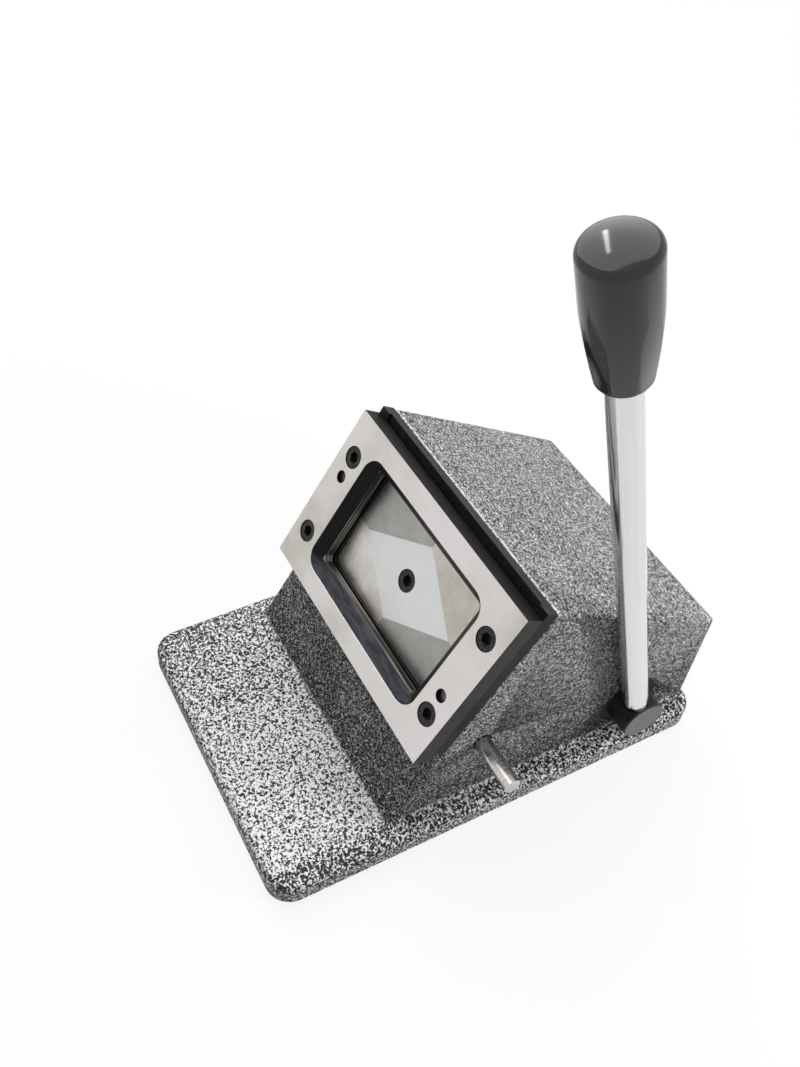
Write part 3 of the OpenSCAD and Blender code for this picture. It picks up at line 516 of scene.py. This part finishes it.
def moulded_grip():
    """The grip: a round barrel with a domed top, cut by eight flats that run out towards the top."""
    length = GRIP_TOP - GRIP_START
    low_r, high_r = 9.3 * MM, 11.8 * MM
    edge, rim = 1.6 * MM, 3.0 * MM
    dome = 1.6 * MM
    taper_top = 29 * MM
    hole, hole_depth = ROD_R + 0.05 * MM, 4 * MM
    rings = 10
    taper = [(low_r + (high_r - low_r) * math.sin(math.radians(90 * i / rings)),
              edge + (taper_top - edge) * i / rings) for i in range(rings + 1)]
    crown_r = (high_r - rim) ** 2 / (2 * dome) + dome / 2
    crown_at = length - crown_r
    lean = math.degrees(math.asin((high_r - rim) / crown_r))
    profile = ([(hole, hole_depth), (hole, 0), (low_r - edge, 0)]
               + arc((low_r - edge, edge), edge, -90, -10, 5)[1:] + taper
               + arc((high_r - rim, length - dome - rim), rim, 0, 90 - lean, 6)
               + arc((0, crown_at), crown_r, 90 - lean, 90, 8)[1:-1])
    profile = [(0, hole_depth)] + profile + [(0, length)]
    shape = turned_profile(profile)
    flats, first_flat = 8, 12                   # how many, and where the first one faces, in degrees
    flat_low, run_out = 8.75 * MM, 31 * MM      # from the axis at the foot, and the height where a flat ends
    tilt = math.atan2(high_r - flat_low, run_out)
    for i in range(flats):
        turn = math.radians(360 * i / flats + first_flat)
        across = Vector((math.cos(turn), math.sin(turn), 0))
        normal = across * math.cos(tilt) - Vector((0, 0, math.sin(tilt)))
        cut = bmesh.ops.bisect_plane(shape, geom=shape.verts[:] + shape.edges[:] + shape.faces[:],
                                     dist=0.001 * MM, plane_co=across * flat_low, plane_no=normal,
                                     clear_outer=True)
        rim_edges = [e for e in cut["geom_cut"] if isinstance(e, bmesh.types.BMEdge)]
        bmesh.ops.contextual_create(shape, geom=rim_edges)
    bmesh.ops.remove_doubles(shape, verts=shape.verts, dist=0.005 * MM)
    to_lever = Matrix.Translation(LEVER_ORIGIN) @ Matrix.Rotation(LEVER_LEAN, 4, "X")
    bmesh.ops.transform(shape, matrix=to_lever @ Matrix.Translation((0, 0, GRIP_START)), verts=shape.verts)
    return new_piece("moulded_grip", shape, grip_plastic(), "lever", ["lever_grip"], 24)


def shorten_spring():
    """Gives the return spring a mesh of its own."""
    spring = NODES["return_spring"]
    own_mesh(spring)


# ---------- studio ----------
def ray_switch(tree, seen, lit):
    """Camera, mirror and glass rays get the seen shader, all others the lit one."""
    path = tree.nodes.new("ShaderNodeLightPath")
    sees = path.outputs["Is Camera Ray"]
    for ray in ("Is Glossy Ray", "Is Transmission Ray"):
        either = tree.nodes.new("ShaderNodeMath")
        either.operation = "MAXIMUM"
        tree.links.new(sees, either.inputs[0])
        tree.links.new(path.outputs[ray], either.inputs[1])
        sees = either.outputs[0]
    switch = tree.nodes.new("ShaderNodeMixShader")
    tree.links.new(sees, switch.inputs[0])
    tree.links.new(lit, switch.inputs[1])
    tree.links.new(seen, switch.inputs[2])
    return switch.outputs[0]


def pale_world(seen=1.0, ambient=0.29):
    """White where it is seen or mirrored, and a soft grey where it lights the machine."""
    world = bpy.data.worlds.new("studio")
    bpy.context.scene.world = world
    world.use_nodes = True
    tree = world.node_tree
    tree.nodes.clear()
    backgrounds = []
    for strength in (seen, ambient):
        node = tree.nodes.new("ShaderNodeBackground")
        node.inputs["Color"].default_value = (1, 1, 1, 1)
        node.inputs["Strength"].default_value = strength
        backgrounds.append(node.outputs[0])
    out = tree.nodes.new("ShaderNodeOutputWorld")
    tree.links.new(ray_switch(tree, *backgrounds), out.inputs["Surface"])


def pale_floor(half_side=4, glow_share=0.86, white=0.95, bounce_grey=0.3):
    """A white table top: it shows nearly as bright as the background, with the machine's soft shadow."""
    shape = bmesh.new()
    bmesh.ops.create_grid(shape, x_segments=1, y_segments=1, size=half_side)
    mesh = bpy.data.meshes.new("floor")
    shape.to_mesh(mesh)
    shape.free()
    floor = bpy.data.objects.new("floor", mesh)
    bpy.context.scene.collection.objects.link(floor)
    material = bpy.data.materials.new("table_top")
    material.use_nodes = True
    tree = material.node_tree
    tree.nodes.clear()
    shade = tree.nodes.new("ShaderNodeBsdfDiffuse")
    shade.inputs["Color"].default_value = (*grey(white), 1)
    glow = tree.nodes.new("ShaderNodeEmission")
    glow.inputs["Strength"].default_value = 1.0
    seen = tree.nodes.new("ShaderNodeMixShader")
    seen.inputs[0].default_value = glow_share
    tree.links.new(shade.outputs[0], seen.inputs[1])
    tree.links.new(glow.outputs[0], seen.inputs[2])
    bounce = tree.nodes.new("ShaderNodeBsdfDiffuse")
    bounce.inputs["Color"].default_value = (*grey(bounce_grey), 1)
    out = tree.nodes.new("ShaderNodeOutputMaterial")
    tree.links.new(ray_switch(tree, seen.outputs[0], bounce.outputs[0]), out.inputs["Surface"])
    mesh.materials.append(material)


def soft_light(name, towards, distance, size, power, aim=(0, 0, 70 * MM), along=(0, 0, 1),
               mirrored=True):
    """A soft box seen from aim in the direction towards; its first side runs as near to along as it can."""
    data = bpy.data.lights.new(name, "AREA")
    data.shape = "RECTANGLE"
    data.size, data.size_y = size
    data.energy = power
    light = bpy.data.objects.new(name, data)
    light.visible_glossy = mirrored
    bpy.context.scene.collection.objects.link(light)
    away = Vector(towards).normalized()
    first = (Vector(along) - away * away.dot(Vector(along))).normalized()
    light.location = Vector(aim) + away * distance
    light.rotation_euler = Matrix((first, away.cross(first), away)).transposed().to_euler()


def camera():
    """The photograph's viewpoint, fitted to the card opening and the plates."""
    data = bpy.data.cameras.new("camera")
    data.lens = 1076.6 * PIXEL
    data.shift_x = 61.2 / PHOTO_HEIGHT
    data.shift_y = 15.7 / PHOTO_HEIGHT
    data.clip_start = 0.01
    eye = bpy.data.objects.new("camera", data)
    bpy.context.scene.collection.objects.link(eye)
    eye.location = (252.6 * MM, -193.6 * MM, 457.1 * MM)
    eye.rotation_euler = [math.radians(a) for a in (41.483, -2.249, 63.136)]
    bpy.context.scene.camera = eye


def studio():
    bpy.context.scene.view_settings.view_transform = "Standard"
    pale_world()
    pale_floor()
    soft_light("key", (-0.62, 0.1, 0.78), distance=2.0, size=(3.0, 3.0), power=44)
    soft_light("side", (0.6, 0.65, 0.25), distance=0.7, size=(0.16, 0.16), power=2.6, mirrored=False)
    grip_top = LEVER_ORIGIN + Matrix.Rotation(LEVER_LEAN, 3, "X") @ Vector((0, 0, GRIP_TOP))
    soft_light("tube", (-0.696, 0.037, 0.717), distance=1.5, size=(1.1, 0.1), power=4.0, aim=grip_top,
               along=(-0.53, 0.62, -0.58))
    camera()


for node, material in finishes().items():
    dress(NODES[node], material)
cast_body()
moulded_grip()
shorten_spring()
studio()
